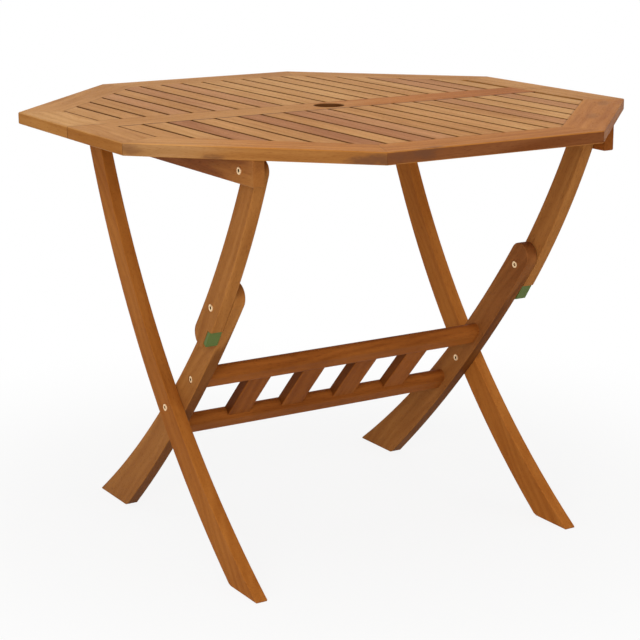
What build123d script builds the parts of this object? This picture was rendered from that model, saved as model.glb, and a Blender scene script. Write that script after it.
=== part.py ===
"""Folding garden table with an octagonal slatted top and curved crossed legs.

Millimetres. +Z is up, the floor is z = 0 and the origin is under the middle of the
top. X runs along the centre rail, +Y is the far side and -Y the near side. The legs
are flat boards that stand in YZ planes: the long outer legs and the upper legs share
one layer next to the battens, and the lower legs run in the layer inside it.
"""

import os
from math import cos, radians, sin, tan

from build123d import *

os.makedirs("parts", exist_ok=True)

# Tabletop
table_height = 750.0
top_across = 990.0
board_thickness = 20.0
frame_width = 70.0
rail_width = 76.0
parasol_hole = 52.0
slat_count = 19
slat_gap = 5.0
first_gap = 3.0
last_gap = 12.2
tongue_thickness = 6.0
tongue_length = 7.5
groove_clearance = 0.2
board_chamfer = 1.5
slat_chamfer = 1.0

# Leg boards and the play between their layers
leg_thickness = 22.0
layer_play = 0.4
leg_chamfer = 1.2
foot_chamfer = 4.0

# Battens under the top, set in from its side edges and just short of its slanting ones
batten_thickness = 19.2
batten_height = 42.0
batten_inset = 146.0
batten_end_inset = 1.2

# Pivots in the YZ plane
outer_pivot_y = 277.0
upper_pivot_y = -307.0
cross_pivot = (3.0, 251.0)
knee_pivot = (-171.0, 464.0)

# Outer legs: one board from the far side of the battens to the near feet
outer_top_width = 44.0
outer_top_lean = -22.5
outer_foot = (-311.5, -218.5)
outer_near_radius = 1529.0
outer_far_radius = 1595.0

# Upper legs: from the near side of the battens to just below the knee
upper_top_width = 41.0
upper_top_lean = 24.0
upper_end = (-134.0, 412.2)
upper_end_width = 46.8
upper_end_lean = 36.8
upper_near_radius = 1476.0
upper_far_radius = 1555.0

# Lower legs: from just above the knee to the far feet
lower_end = (-182.5, 479.5)
lower_end_width = 49.4
lower_end_lean = 33.2
lower_foot = (223.0, 335.0)
lower_near_radius = 3050.0
lower_far_radius = 2230.0

# Rounded leg ends; the upper ones turn under the top without touching it
top_end_reach = 16.0
top_end_round = 18.0
upper_end_round = 22.8
lower_end_round = 23.8

# Knee stops, measured down the leg from the knee and towards the near edge
knee_lean = 34.0
stop_shoulder = 43.6
stop_end = 72.4
stop_near = 20.5
stop_thickness = 8.7
stop_play = 0.2
stop_chamfer = 1.0
stop_key_length = 16.0
stop_key_thickness = 3.0
stop_key_depth = 8.0
stop_key_near = 13.5

# Lattice between the lower legs
lattice_middle = (6.0, 252.7)
lattice_lean = 43.5
lattice_rail_spacing = 157.6
lattice_rail_width = 46.6
lattice_rail_thickness = 26.0
lattice_slat_count = 4
lattice_slat_pitch = 110.4
lattice_slat_width = 44.5
lattice_slat_thickness = 18.0
lattice_slat_seat = 14.0
tenon_width = 28.0
tenon_thickness = 10.0
tenon_length = 12.0
joint_clearance = 0.1
hole_allowance = 1.0

# Bolts
bolt_diameter = 6.0
pivot_diameter = 9.0
pivot_clearance = 0.05
head_diameter = 12.5
head_height = 1.8
head_play = 0.1
head_clearance = 0.5
lattice_bolt_grip = 40.0

# Places that follow from the sizes above
underside = table_height - board_thickness
top_apothem = top_across / 2
inner_apothem = top_apothem - frame_width
groove_depth = tongue_length + groove_clearance
groove_thickness = tongue_thickness + 2 * groove_clearance
tongue_z = underside + (board_thickness - tongue_thickness) / 2
groove_z = tongue_z - groove_clearance
half_side = tan(radians(22.5))

slat_width = (2 * inner_apothem - first_gap - last_gap + slat_gap) / slat_count - slat_gap
slat_pitch = slat_width + slat_gap

batten_face = top_apothem - batten_inset
batten_layer = batten_face - batten_thickness
batten_middle = batten_face - batten_thickness / 2
batten_length = 2 * (top_apothem * (1 + half_side) - batten_face - batten_end_inset)
outer_layer = batten_layer - layer_play - leg_thickness
lower_layer = outer_layer - layer_play - leg_thickness
lattice_length = 2 * lower_layer

top_pivot_z = underside - batten_height / 2
outer_pivot = (outer_pivot_y, top_pivot_z)
upper_pivot = (upper_pivot_y, top_pivot_z)
turning_hole = pivot_diameter + 2 * pivot_clearance
fixed_hole = pivot_diameter + 2 * joint_clearance
bolt_hole = bolt_diameter + 2 * joint_clearance
head_bore = head_diameter + 2 * head_clearance
head_sink = head_height + layer_play


def station(point, lean, across=0.0, down=0.0):
    """Point in the leg plane, set off from another across and down a leaning axis."""
    turn = radians(lean)
    return (
        point[0] + across * cos(turn) + down * sin(turn),
        point[1] + across * sin(turn) - down * cos(turn),
    )


def leaning_plane(x, point, lean):
    """YZ plane at x whose own x axis points down a leaning axis and own y axis across it."""
    turn = radians(lean)
    return Plane(
        origin=(x, point[0], point[1]),
        x_dir=(0, sin(turn), -cos(turn)),
        z_dir=(1, 0, 0),
    )


lattice_clear = lattice_rail_spacing - lattice_rail_width
lattice_slat_length = lattice_clear + 2 * lattice_slat_seat
upper_rail_axis = station(lattice_middle, lattice_lean, down=-lattice_rail_spacing / 2)
lower_rail_axis = station(lattice_middle, lattice_lean, down=lattice_rail_spacing / 2)
lattice_run = Axis((0, 0, 0), (0, sin(radians(lattice_lean)), -cos(radians(lattice_lean))))
lattice_plane = Plane(
    origin=(0, *lattice_middle),
    x_dir=(1, 0, 0),
    z_dir=(0, cos(radians(lattice_lean)), sin(radians(lattice_lean))),
)

stop_key_middle = station(
    knee_pivot,
    knee_lean,
    across=-stop_key_near,
    down=(stop_shoulder + stop_end) / 2,
)


def octagon(apothem, mode=Mode.ADD):
    """Octagon in the open sketch, with two of its sides square to each axis."""
    RegularPolygon(apothem, 8, major_radius=False, rotation=22.5, mode=mode)


def save(piece, name):
    """Label a finished piece and write it under its own name."""
    piece.part.label = name
    export_step(piece.part, f"parts/{name}.step")


def frame_board(bearing, name, run=(-1, 1)):
    """Mitred frame board facing a bearing, run from one mitre (-1) to the other (1)."""
    turn = radians(bearing)
    outward = Axis((0, 0, 0), (cos(turn), sin(turn), 0))
    with BuildPart() as board:
        with BuildSketch(Plane((0, 0, underside), x_dir=(cos(turn), sin(turn), 0), z_dir=(0, 0, 1))):
            with BuildLine():
                Polyline(
                    (inner_apothem, run[0] * inner_apothem * half_side),
                    (top_apothem, run[0] * top_apothem * half_side),
                    (top_apothem, run[1] * top_apothem * half_side),
                    (inner_apothem, run[1] * inner_apothem * half_side),
                    close=True,
                )
            make_face()
        extrude(amount=board_thickness)
        rim = board.faces().sort_by(outward)[-1]
        along = Axis((0, 0, 0), (-sin(turn), cos(turn), 0))
        chamfer(rim.edges().filter_by(along), length=board_chamfer)
        with BuildSketch(Plane.XY.offset(groove_z)):
            octagon(inner_apothem + groove_depth)
        extrude(amount=groove_thickness, mode=Mode.SUBTRACT)
    save(board, name)


frame_board(90, "frame_board_far")
frame_board(135, "frame_board_far_left")
frame_board(45, "frame_board_far_right")
frame_board(-90, "frame_board_near")
frame_board(-135, "frame_board_near_left")
frame_board(-45, "frame_board_near_right")
frame_board(0, "side_board_right_far", run=(0, 1))
frame_board(0, "side_board_right_near", run=(-1, 0))
frame_board(180, "side_board_left_far", run=(-1, 0))
frame_board(180, "side_board_left_near", run=(0, 1))

# Centre rail with the parasol hole, tongued into the side boards
with BuildPart() as centre_rail:
    with BuildSketch(Plane.XY.offset(underside)):
        Rectangle(2 * inner_apothem, rail_width)
    extrude(amount=board_thickness)
    with BuildSketch(Plane.XY.offset(tongue_z)):
        Rectangle(2 * (inner_apothem + tongue_length), rail_width)
    extrude(amount=tongue_thickness)
    with BuildSketch(Plane.XY.offset(groove_z)):
        with GridLocations(0, rail_width, 1, 2):
            Rectangle(2 * top_apothem, 2 * groove_depth)
    extrude(amount=groove_thickness, mode=Mode.SUBTRACT)
    with Locations((0, 0, table_height)):
        Hole(parasol_hole / 2, depth=2 * board_thickness)
    mouth = centre_rail.edges().filter_by(GeomType.CIRCLE).group_by(Axis.Z)[-1]
    chamfer(mouth, length=board_chamfer)
save(centre_rail, "centre_rail")

# Slats, laid from the left side board at an even pitch. Each node holds the far slat
# and the near slat of one row, which are mirror images of each other.
for row in range(slat_count):
    slat_x = -inner_apothem + first_gap + slat_width / 2 + row * slat_pitch
    with BuildPart() as slat_pair:
        with BuildSketch(Plane.XY.offset(underside)):
            with Locations((slat_x, 0)):
                Rectangle(slat_width, top_across)
            octagon(inner_apothem, mode=Mode.INTERSECT)
            Rectangle(top_across, rail_width, mode=Mode.SUBTRACT)
        extrude(amount=board_thickness)
        long_edges = slat_pair.edges().filter_by(Axis.Y).group_by(Axis.Z)[-1]
        chamfer(long_edges, length=slat_chamfer)
        with BuildSketch(Plane.XY.offset(tongue_z)):
            with Locations((slat_x, 0)):
                Rectangle(slat_width, top_across)
            octagon(inner_apothem + tongue_length, mode=Mode.INTERSECT)
            Rectangle(top_across, rail_width - 2 * tongue_length, mode=Mode.SUBTRACT)
        extrude(amount=tongue_thickness)
    save(slat_pair, f"slat_pair_{row + 1:02d}")


def facing(x, point, outward):
    """Location on a leg or batten face at x whose own Z axis points along +X or -X."""
    return Plane((x, *point), z_dir=(outward, 0, 0)).location


def bore(x, point, diameter, depth):
    """Cut a round hole along X from a leg or batten face, depth signed along X."""
    with Locations(facing(x, point, 1 if depth > 0 else -1)):
        Cylinder(
            diameter / 2,
            abs(depth),
            align=(Align.CENTER, Align.CENTER, Align.MIN),
            mode=Mode.SUBTRACT,
        )


def batten(hand, name):
    """Batten under the top, bored for the two leg pivots."""
    with BuildPart() as bar:
        with BuildSketch(Plane.XY.offset(underside - batten_height)):
            with Locations((hand * batten_middle, 0)):
                Rectangle(batten_thickness, batten_length)
        extrude(amount=batten_height)
        chamfer(bar.faces().sort_by(Axis.Z)[0].edges(), length=board_chamfer)
        for pivot in (outer_pivot, upper_pivot):
            bore(hand * batten_layer, pivot, fixed_hole, hand * batten_thickness)
    save(bar, name)


def outer_leg(hand, name):
    """Long curved leg with a rounded upper end, cut flat at the floor."""
    half = outer_top_width / 2
    top_near = station(outer_pivot, outer_top_lean, across=-half, down=-top_end_reach)
    top_far = station(outer_pivot, outer_top_lean, across=half, down=-top_end_reach)
    with BuildPart() as leg:
        with BuildSketch(Plane.YZ.offset(hand * outer_layer)) as outline:
            with BuildLine():
                Line(top_near, top_far)
                RadiusArc(top_far, (outer_foot[1], 0), outer_far_radius)
                Line((outer_foot[1], 0), (outer_foot[0], 0))
                RadiusArc((outer_foot[0], 0), top_near, -outer_near_radius)
            make_face()
            fillet(outline.vertices().sort_by(Axis.Y)[-2:], radius=top_end_round)
            chamfer(outline.vertices().sort_by(Axis.Y)[:2], length=foot_chamfer)
        extrude(amount=hand * leg_thickness)
        chamfer(leg.faces().filter_by(Axis.X).edges(), length=leg_chamfer)
        bore(hand * outer_layer, outer_pivot, turning_hole, hand * leg_thickness)
        bore(hand * outer_layer, cross_pivot, fixed_hole, hand * leg_thickness)
    save(leg, name)


def upper_leg(hand, name):
    """Short leg hung from the batten, with a rounded lower end notched for the stop."""
    half = upper_top_width / 2
    top_near = station(upper_pivot, upper_top_lean, across=-half, down=-top_end_reach)
    top_far = station(upper_pivot, upper_top_lean, across=half, down=-top_end_reach)
    end_half = upper_end_width / 2
    end_near = station(upper_end, upper_end_lean, across=-end_half, down=end_half)
    end_far = station(upper_end, upper_end_lean, across=end_half, down=end_half)
    notch_face = stop_near - stop_thickness - stop_play
    with BuildPart() as leg:
        with BuildSketch(Plane.YZ.offset(hand * outer_layer)) as outline:
            with BuildLine():
                Line(top_near, top_far)
                RadiusArc(top_far, end_far, -upper_far_radius)
                Line(end_far, end_near)
                RadiusArc(end_near, top_near, upper_near_radius)
            make_face()
            fillet(outline.vertices().sort_by(Axis.Y)[-2:], radius=top_end_round)
            fillet(outline.vertices().sort_by(Axis.Y)[:2], radius=upper_end_round)
        extrude(amount=hand * leg_thickness)
        chamfer(leg.faces().filter_by(Axis.X).edges(), length=leg_chamfer)
        with BuildSketch(leaning_plane(hand * outer_layer, knee_pivot, knee_lean)):
            with Locations((0, -notch_face)):
                Rectangle(2 * stop_end, 2 * stop_near, align=(Align.MIN, Align.MAX))
            Circle(stop_shoulder - stop_play, mode=Mode.SUBTRACT)
        extrude(amount=hand * leg_thickness, mode=Mode.SUBTRACT)
        bore(hand * outer_layer, upper_pivot, turning_hole, hand * leg_thickness)
        bore(hand * outer_layer, knee_pivot, fixed_hole, hand * leg_thickness)
    save(leg, name)


def lower_leg(hand, name):
    """Lower leg with a rounded knee end, bored and mortised for the pieces that it carries."""
    half = lower_end_width / 2
    end_near = station(lower_end, lower_end_lean, across=-half, down=-half)
    end_far = station(lower_end, lower_end_lean, across=half, down=-half)
    outer_face = hand * (lower_layer + leg_thickness)
    with BuildPart() as leg:
        with BuildSketch(Plane.YZ.offset(hand * lower_layer)) as outline:
            with BuildLine():
                Line(end_near, end_far)
                RadiusArc(end_far, (lower_foot[1], 0), -lower_far_radius)
                Line((lower_foot[1], 0), (lower_foot[0], 0))
                RadiusArc((lower_foot[0], 0), end_near, lower_near_radius)
            make_face()
            fillet(outline.vertices().sort_by(Axis.Y)[-2:], radius=lower_end_round)
            chamfer(outline.vertices().sort_by(Axis.Y)[:2], length=foot_chamfer)
        extrude(amount=hand * leg_thickness)
        chamfer(leg.faces().filter_by(Axis.X).edges(), length=leg_chamfer)
        bore(hand * lower_layer, knee_pivot, turning_hole, hand * leg_thickness)
        bore(hand * lower_layer, cross_pivot, fixed_hole, hand * leg_thickness)
        bore(outer_face, upper_rail_axis, bolt_hole, -hand * leg_thickness)
        bore(outer_face, upper_rail_axis, head_bore, -hand * head_sink)
        with BuildSketch(leaning_plane(hand * lower_layer, lower_rail_axis, lattice_lean)):
            Rectangle(tenon_width + 2 * joint_clearance, tenon_thickness + 2 * joint_clearance)
        extrude(amount=hand * (tenon_length + hole_allowance), mode=Mode.SUBTRACT)
        with BuildSketch(leaning_plane(outer_face, stop_key_middle, knee_lean)):
            Rectangle(stop_key_length + 2 * joint_clearance, stop_key_thickness + 2 * joint_clearance)
        extrude(amount=-hand * (stop_key_depth + hole_allowance), mode=Mode.SUBTRACT)
    save(leg, name)


def knee_stop(hand, name):
    """Block keyed into the lower leg that holds the upper leg when the knee is straight."""
    seat = hand * (lower_layer + leg_thickness)
    with BuildPart() as stop:
        with BuildSketch(leaning_plane(seat, knee_pivot, knee_lean)):
            with Locations((0, -stop_near)):
                Rectangle(stop_end, stop_thickness, align=(Align.MIN, Align.MIN))
            Circle(stop_shoulder, mode=Mode.SUBTRACT)
        extrude(amount=hand * leg_thickness)
        rims = stop.faces().filter_by(Axis.X).sort_by(Axis.X)
        outer_rim = rims[-1] if hand > 0 else rims[0]
        chamfer(outer_rim.edges(), length=stop_chamfer)
        with BuildSketch(leaning_plane(seat, stop_key_middle, knee_lean)):
            Rectangle(stop_key_length, stop_key_thickness)
        extrude(amount=-hand * stop_key_depth)
    save(stop, name)


def lattice_rail(axis):
    """Round-edged rail between the lower legs, with a pocket for each lattice slat."""
    with BuildPart() as rail:
        with BuildSketch(leaning_plane(-lower_layer, axis, lattice_lean)):
            SlotOverall(lattice_rail_width, lattice_rail_thickness)
        extrude(amount=lattice_length)
        with BuildSketch(lattice_plane):
            with GridLocations(lattice_slat_pitch, 0, lattice_slat_count, 1):
                Rectangle(lattice_slat_width + 2 * joint_clearance, lattice_slat_length + hole_allowance)
        extrude(amount=lattice_slat_thickness / 2 + joint_clearance, both=True, mode=Mode.SUBTRACT)
    return rail.part


def lattice_slat(index, name):
    """Upright of the lattice, let into both rails by its full section."""
    slat_x = (index - (lattice_slat_count - 1) / 2) * lattice_slat_pitch
    with BuildPart() as slat:
        with BuildSketch(lattice_plane):
            with Locations((slat_x, 0)):
                Rectangle(lattice_slat_width, lattice_slat_length)
        extrude(amount=lattice_slat_thickness / 2, both=True)
        chamfer(slat.edges().filter_by(lattice_run), length=slat_chamfer)
    save(slat, name)


for hand, side in ((-1, "left"), (1, "right")):
    batten(hand, f"batten_{side}")
    outer_leg(hand, f"outer_leg_{side}")
    upper_leg(hand, f"upper_leg_{side}")
    lower_leg(hand, f"lower_leg_{side}")
    knee_stop(hand, f"knee_stop_{side}")

# The upper rail is bolted to the lower legs, and the lower one tenoned into them
with BuildPart() as upper_rail:
    add(lattice_rail(upper_rail_axis))
    for hand in (-1, 1):
        bore(
            hand * lower_layer,
            upper_rail_axis,
            bolt_hole,
            -hand * (lattice_bolt_grip + hole_allowance),
        )
save(upper_rail, "lattice_rail_upper")

with BuildPart() as lower_rail:
    add(lattice_rail(lower_rail_axis))
    for hand in (-1, 1):
        with BuildSketch(leaning_plane(hand * lower_layer, lower_rail_axis, lattice_lean)):
            Rectangle(tenon_width, tenon_thickness)
        extrude(amount=hand * tenon_length)
save(lower_rail, "lattice_rail_lower")

for index in range(lattice_slat_count):
    lattice_slat(index, f"lattice_slat_{index + 1}")


def flat_bolt(diameter, length, double=False):
    """Bolt along Z with a flat head on z = 0, and a like head at the other end of a double one."""
    rim = head_diameter / 2
    end = length + head_height if double else length
    tail = [(rim, -length), (rim, -end)] if double else []
    with BuildPart() as bolt:
        with BuildSketch(Plane.XZ):
            with BuildLine():
                Polyline(
                    (0, head_height),
                    (rim, head_height),
                    (rim, 0),
                    (diameter / 2, 0),
                    (diameter / 2, -length),
                    *tail,
                    (0, -end),
                    close=True,
                )
            make_face()
        revolve(axis=Axis.Z)
    return bolt.part


def bolt_group(bolt, x, points, outward, name):
    """One node of like bolts on both sides, heads pointing from (1) or to (-1) the middle."""
    with BuildPart() as group:
        with Locations(*[facing(hand * x, point, hand * outward) for hand in (-1, 1) for point in points]):
            add(bolt)
    save(group, name)


leg_face = outer_layer + leg_thickness
lower_face = lower_layer + leg_thickness

# Pivots: the top ones are held in the battens and the knee ones in the upper legs
top_bolt = flat_bolt(pivot_diameter, batten_face - outer_layer)
bolt_group(top_bolt, batten_face, (outer_pivot, upper_pivot), 1, "top_pivot_bolts")
knee_grip = leg_face - lower_layer + head_play
knee_bolt = flat_bolt(pivot_diameter, knee_grip, double=True)
bolt_group(knee_bolt, leg_face, (knee_pivot,), 1, "knee_bolts")

# Crossing: a bolt in each outer leg faces a sleeve nut in each lower leg
crossing_pin = flat_bolt(pivot_diameter, leg_thickness - layer_play / 2)
bolt_group(crossing_pin, leg_face, (cross_pivot,), 1, "crossing_bolts")
bolt_group(crossing_pin, lower_layer, (cross_pivot,), -1, "crossing_sleeves")

# Lattice bolts, sunk in the outer faces of the lower legs and held in the upper rail
lattice_seat = lower_face - head_sink
lattice_bolt = flat_bolt(bolt_diameter, lattice_seat - lower_layer + lattice_bolt_grip)
bolt_group(lattice_bolt, lattice_seat, (upper_rail_axis,), 1, "lattice_bolts")
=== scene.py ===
"""Folding garden table: oiled hardwood boards, brass bolts, green stops and a white studio."""

import functools
import math
from typing import NamedTuple

import bmesh
import bpy
from bpy.props import FloatProperty, FloatVectorProperty, PointerProperty
from bpy.types import NodeSocket, Operator, Panel, PropertyGroup
from mathutils import Matrix, Vector


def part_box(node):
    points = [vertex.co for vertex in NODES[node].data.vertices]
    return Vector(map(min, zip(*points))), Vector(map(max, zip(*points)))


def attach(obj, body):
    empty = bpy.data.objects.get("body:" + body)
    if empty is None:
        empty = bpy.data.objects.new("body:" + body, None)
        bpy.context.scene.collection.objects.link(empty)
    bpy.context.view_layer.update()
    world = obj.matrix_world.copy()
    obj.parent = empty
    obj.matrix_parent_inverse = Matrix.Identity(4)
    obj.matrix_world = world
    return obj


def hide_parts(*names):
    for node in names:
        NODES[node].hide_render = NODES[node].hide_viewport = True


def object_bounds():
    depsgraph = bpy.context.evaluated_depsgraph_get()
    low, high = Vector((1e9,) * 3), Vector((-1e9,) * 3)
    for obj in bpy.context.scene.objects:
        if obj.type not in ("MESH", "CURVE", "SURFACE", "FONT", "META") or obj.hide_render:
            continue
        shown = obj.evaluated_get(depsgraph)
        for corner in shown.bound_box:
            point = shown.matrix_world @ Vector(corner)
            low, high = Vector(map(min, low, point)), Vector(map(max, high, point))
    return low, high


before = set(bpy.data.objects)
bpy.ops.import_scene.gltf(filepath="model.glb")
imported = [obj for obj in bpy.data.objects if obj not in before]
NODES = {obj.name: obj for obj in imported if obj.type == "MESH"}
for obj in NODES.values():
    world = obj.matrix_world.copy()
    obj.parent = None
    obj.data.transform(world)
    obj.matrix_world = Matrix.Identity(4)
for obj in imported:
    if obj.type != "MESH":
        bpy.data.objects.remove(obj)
CAD_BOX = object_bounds()

# Places of the top's boards, read from the frame
TABLE_TOP = CAD_BOX[1].z
RAIL_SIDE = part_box("centre_rail")[1].y
FRAME_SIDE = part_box("frame_board_far")[0].y
FIRST_SLAT, SECOND_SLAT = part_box("slat_pair_01"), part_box("slat_pair_02")
SLAT_PITCH = SECOND_SLAT[0].x - FIRST_SLAT[0].x
ROW_START = (FIRST_SLAT[0].x + FIRST_SLAT[1].x - SLAT_PITCH) / 2

X_AXIS, Y_AXIS, UP = (1.0, 0.0, 0.0), (0.0, 1.0, 0.0), (0.0, 0.0, 1.0)
WHITE = (1.0, 1.0, 1.0)

bl_info = {
    "name": "Folding Garden Table",
    "version": (1, 0, 0),
    "blender": (4, 5, 0),
    "location": "View3D > Sidebar > Garden Table",
    "description": "Finishes, small fasteners and studio for a folding garden table",
    "category": "Object",
}


def screen_colour(red, green, blue):
    """Linear colour from 0 to 255 screen values."""
    parts = [value / 255 for value in (red, green, blue)]
    return tuple(p / 12.92 if p <= 0.04045 else ((p + 0.055) / 1.055) ** 2.4 for p in parts)


def colour_setting(name, description, *screen):
    """Colour property with a screen colour as its default."""
    return FloatVectorProperty(
        name=name,
        description=description,
        subtype="COLOR",
        size=3,
        min=0.0,
        max=1.0,
        default=screen_colour(*screen),
    )


def length_setting(name, description, default, smallest, largest):
    """Length property in metres."""
    return FloatProperty(
        name=name,
        description=description,
        default=default,
        min=smallest,
        max=largest,
        unit="LENGTH",
    )


def share_setting(name, description, default):
    """Property between nought and one."""
    return FloatProperty(
        name=name,
        description=description,
        default=default,
        min=0.0,
        max=1.0,
        subtype="FACTOR",
    )


def angle_setting(name, description, degrees):
    """Angle property with its default in degrees."""
    return FloatProperty(
        name=name,
        description=description,
        default=math.radians(degrees),
        subtype="ANGLE",
    )


def power_setting(name, description, watts):
    """Power of a lamp."""
    return FloatProperty(name=name, description=description, default=watts, min=0.0, unit="POWER")


class GardenTableWood(PropertyGroup):
    """Timber colours and grain of the boards."""

    golden_light: colour_setting("Golden light", "Early wood of the golden boards", 201, 150, 92)
    golden_dark: colour_setting("Golden dark", "Late wood of the golden boards", 177, 123, 66)
    tan_light: colour_setting("Tan light", "Early wood of the tan boards", 194, 140, 82)
    tan_dark: colour_setting("Tan dark", "Late wood of the tan boards", 168, 113, 57)
    pink_light: colour_setting("Pink light", "Early wood of the pink boards", 188, 133, 84)
    pink_dark: colour_setting("Pink dark", "Late wood of the pink boards", 163, 108, 61)
    mauve_light: colour_setting("Mauve light", "Early wood of the mauve boards", 175, 118, 72)
    mauve_dark: colour_setting("Mauve dark", "Late wood of the mauve boards", 150, 93, 50)
    orange_light: colour_setting("Orange light", "Early wood of the orange boards", 185, 122, 58)
    orange_dark: colour_setting("Orange dark", "Late wood of the orange boards", 157, 94, 38)
    leg_light: colour_setting("Leg light", "Early wood of the red-brown boards", 182, 114, 50)
    leg_dark: colour_setting("Leg dark", "Late wood of the red-brown boards", 154, 88, 32)
    copper_light: colour_setting("Copper light", "Early wood of the copper boards", 193, 122, 54)
    copper_dark: colour_setting("Copper dark", "Late wood of the copper boards", 166, 96, 36)
    brown_light: colour_setting("Brown light", "Early wood of the brown boards", 178, 118, 60)
    brown_dark: colour_setting("Brown dark", "Late wood of the brown boards", 148, 90, 41)
    umber_light: colour_setting("Umber light", "Early wood of the umber boards", 148, 88, 47)
    umber_dark: colour_setting("Umber dark", "Late wood of the umber boards", 110, 60, 29)
    russet_light: colour_setting("Russet light", "Early wood of the russet boards", 168, 98, 40)
    russet_dark: colour_setting("Russet dark", "Late wood of the russet boards", 126, 66, 23)
    knot_colour: colour_setting("Knot", "Heart of a knot", 106, 68, 46)
    # Dark joint colour, also used for the painted shade on the walls of gaps and holes.
    seam_and_shade_colour: colour_setting("Seam", "Dirt in the joints and gaps", 74, 40, 18)
    streak_width: length_setting(
        "Streak width", "Width of a broad streak across the grain", 0.016, 0.002, 0.1
    )
    relief: length_setting("Grain relief", "Depth of the open grain", 0.0004, 0.0, 0.002)
    # Paler arrises: rubbed wear and a painted highlight.
    edge_wear: share_setting("Edge wear", "How much the arrises are rubbed", 0.35)
    # Strength of the painted shade on the walls of the gaps and holes.
    gap_painted_shade: share_setting("Painted gap shade", "How dark the walls of the gaps are", 0.9)
    oil_sheen: share_setting("Oil sheen", "Specular level of the oiled surface", 0.02)


class GardenTableHardware(PropertyGroup):
    """Bolts, screws and stops."""

    brass: colour_setting("Brass", "Plated bolt heads", 244, 214, 170)
    tarnish: colour_setting("Tarnish", "Dull patches on the bolts", 196, 150, 104)
    zinc: colour_setting("Zinc", "Screw heads", 190, 188, 182)
    stop_green: colour_setting("Stop green", "Moulded knee stops", 82, 98, 38)
    # Painted shade on the walls and floor of a bolt's hexagon socket.
    recess: colour_setting("Recess", "Shaded floor of a bolt's socket", 58, 40, 26)
    head_height: length_setting("Head height", "Thickness of a bolt head", 0.0018, 0.001, 0.004)
    head_bevel: length_setting("Head bevel", "Bevel round a bolt head", 0.0008, 0.0, 0.002)
    socket_reach: length_setting(
        "Socket reach", "From the middle of a hexagon socket to its flats", 0.0026, 0.001, 0.004
    )
    socket_depth: length_setting("Socket depth", "Depth of a hexagon socket", 0.0015, 0.0005, 0.003)
    pivot_radius: length_setting("Pivot radius", "Radius of a pivot's shank", 0.0045, 0.002, 0.006)
    bolt_radius: length_setting("Bolt radius", "Radius of a lattice bolt's shank", 0.003, 0.002, 0.006)
    screw_head: length_setting("Screw head", "Diameter of a batten screw's head", 0.008, 0.004, 0.012)
    screw_inset: length_setting(
        "Screw inset", "From the end of a batten to its outer screws", 0.014, 0.005, 0.1
    )


class GardenTableStage(PropertyGroup):
    """Camera, lamps and floor."""

    camera_azimuth: angle_setting(
        "Camera azimuth", "Turn of the camera from the front, to the right", -31.40
    )
    camera_elevation: angle_setting(
        "Camera elevation", "Height of the camera over the horizon", 14.21
    )
    camera_roll: angle_setting("Camera roll", "Turn of the camera about its view", -0.11)
    camera_place: FloatVectorProperty(
        name="Camera place",
        description="Where the camera stands",
        default=(-1.658, -2.685, 1.162),
        subtype="XYZ",
        unit="LENGTH",
    )
    lens: FloatProperty(
        name="Lens",
        description="Focal length on a 36 mm sensor, in millimetres",
        default=101.76,
        min=10.0,
        max=300.0,
        unit="CAMERA",
    )
    key_power: power_setting("Key light", "Power of the large low lamp at the front left", 70.0)
    top_power: power_setting("Top light", "Power of the large lamp overhead", 42.0)
    fill_power: power_setting("Fill light", "Power of the lamp at the front right", 16.0)
    sky_strength: share_setting("Sky", "Strength of the even light from all sides", 0.5)
    floor_colour: colour_setting("Floor", "Plain pale floor", 222, 222, 220)


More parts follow.
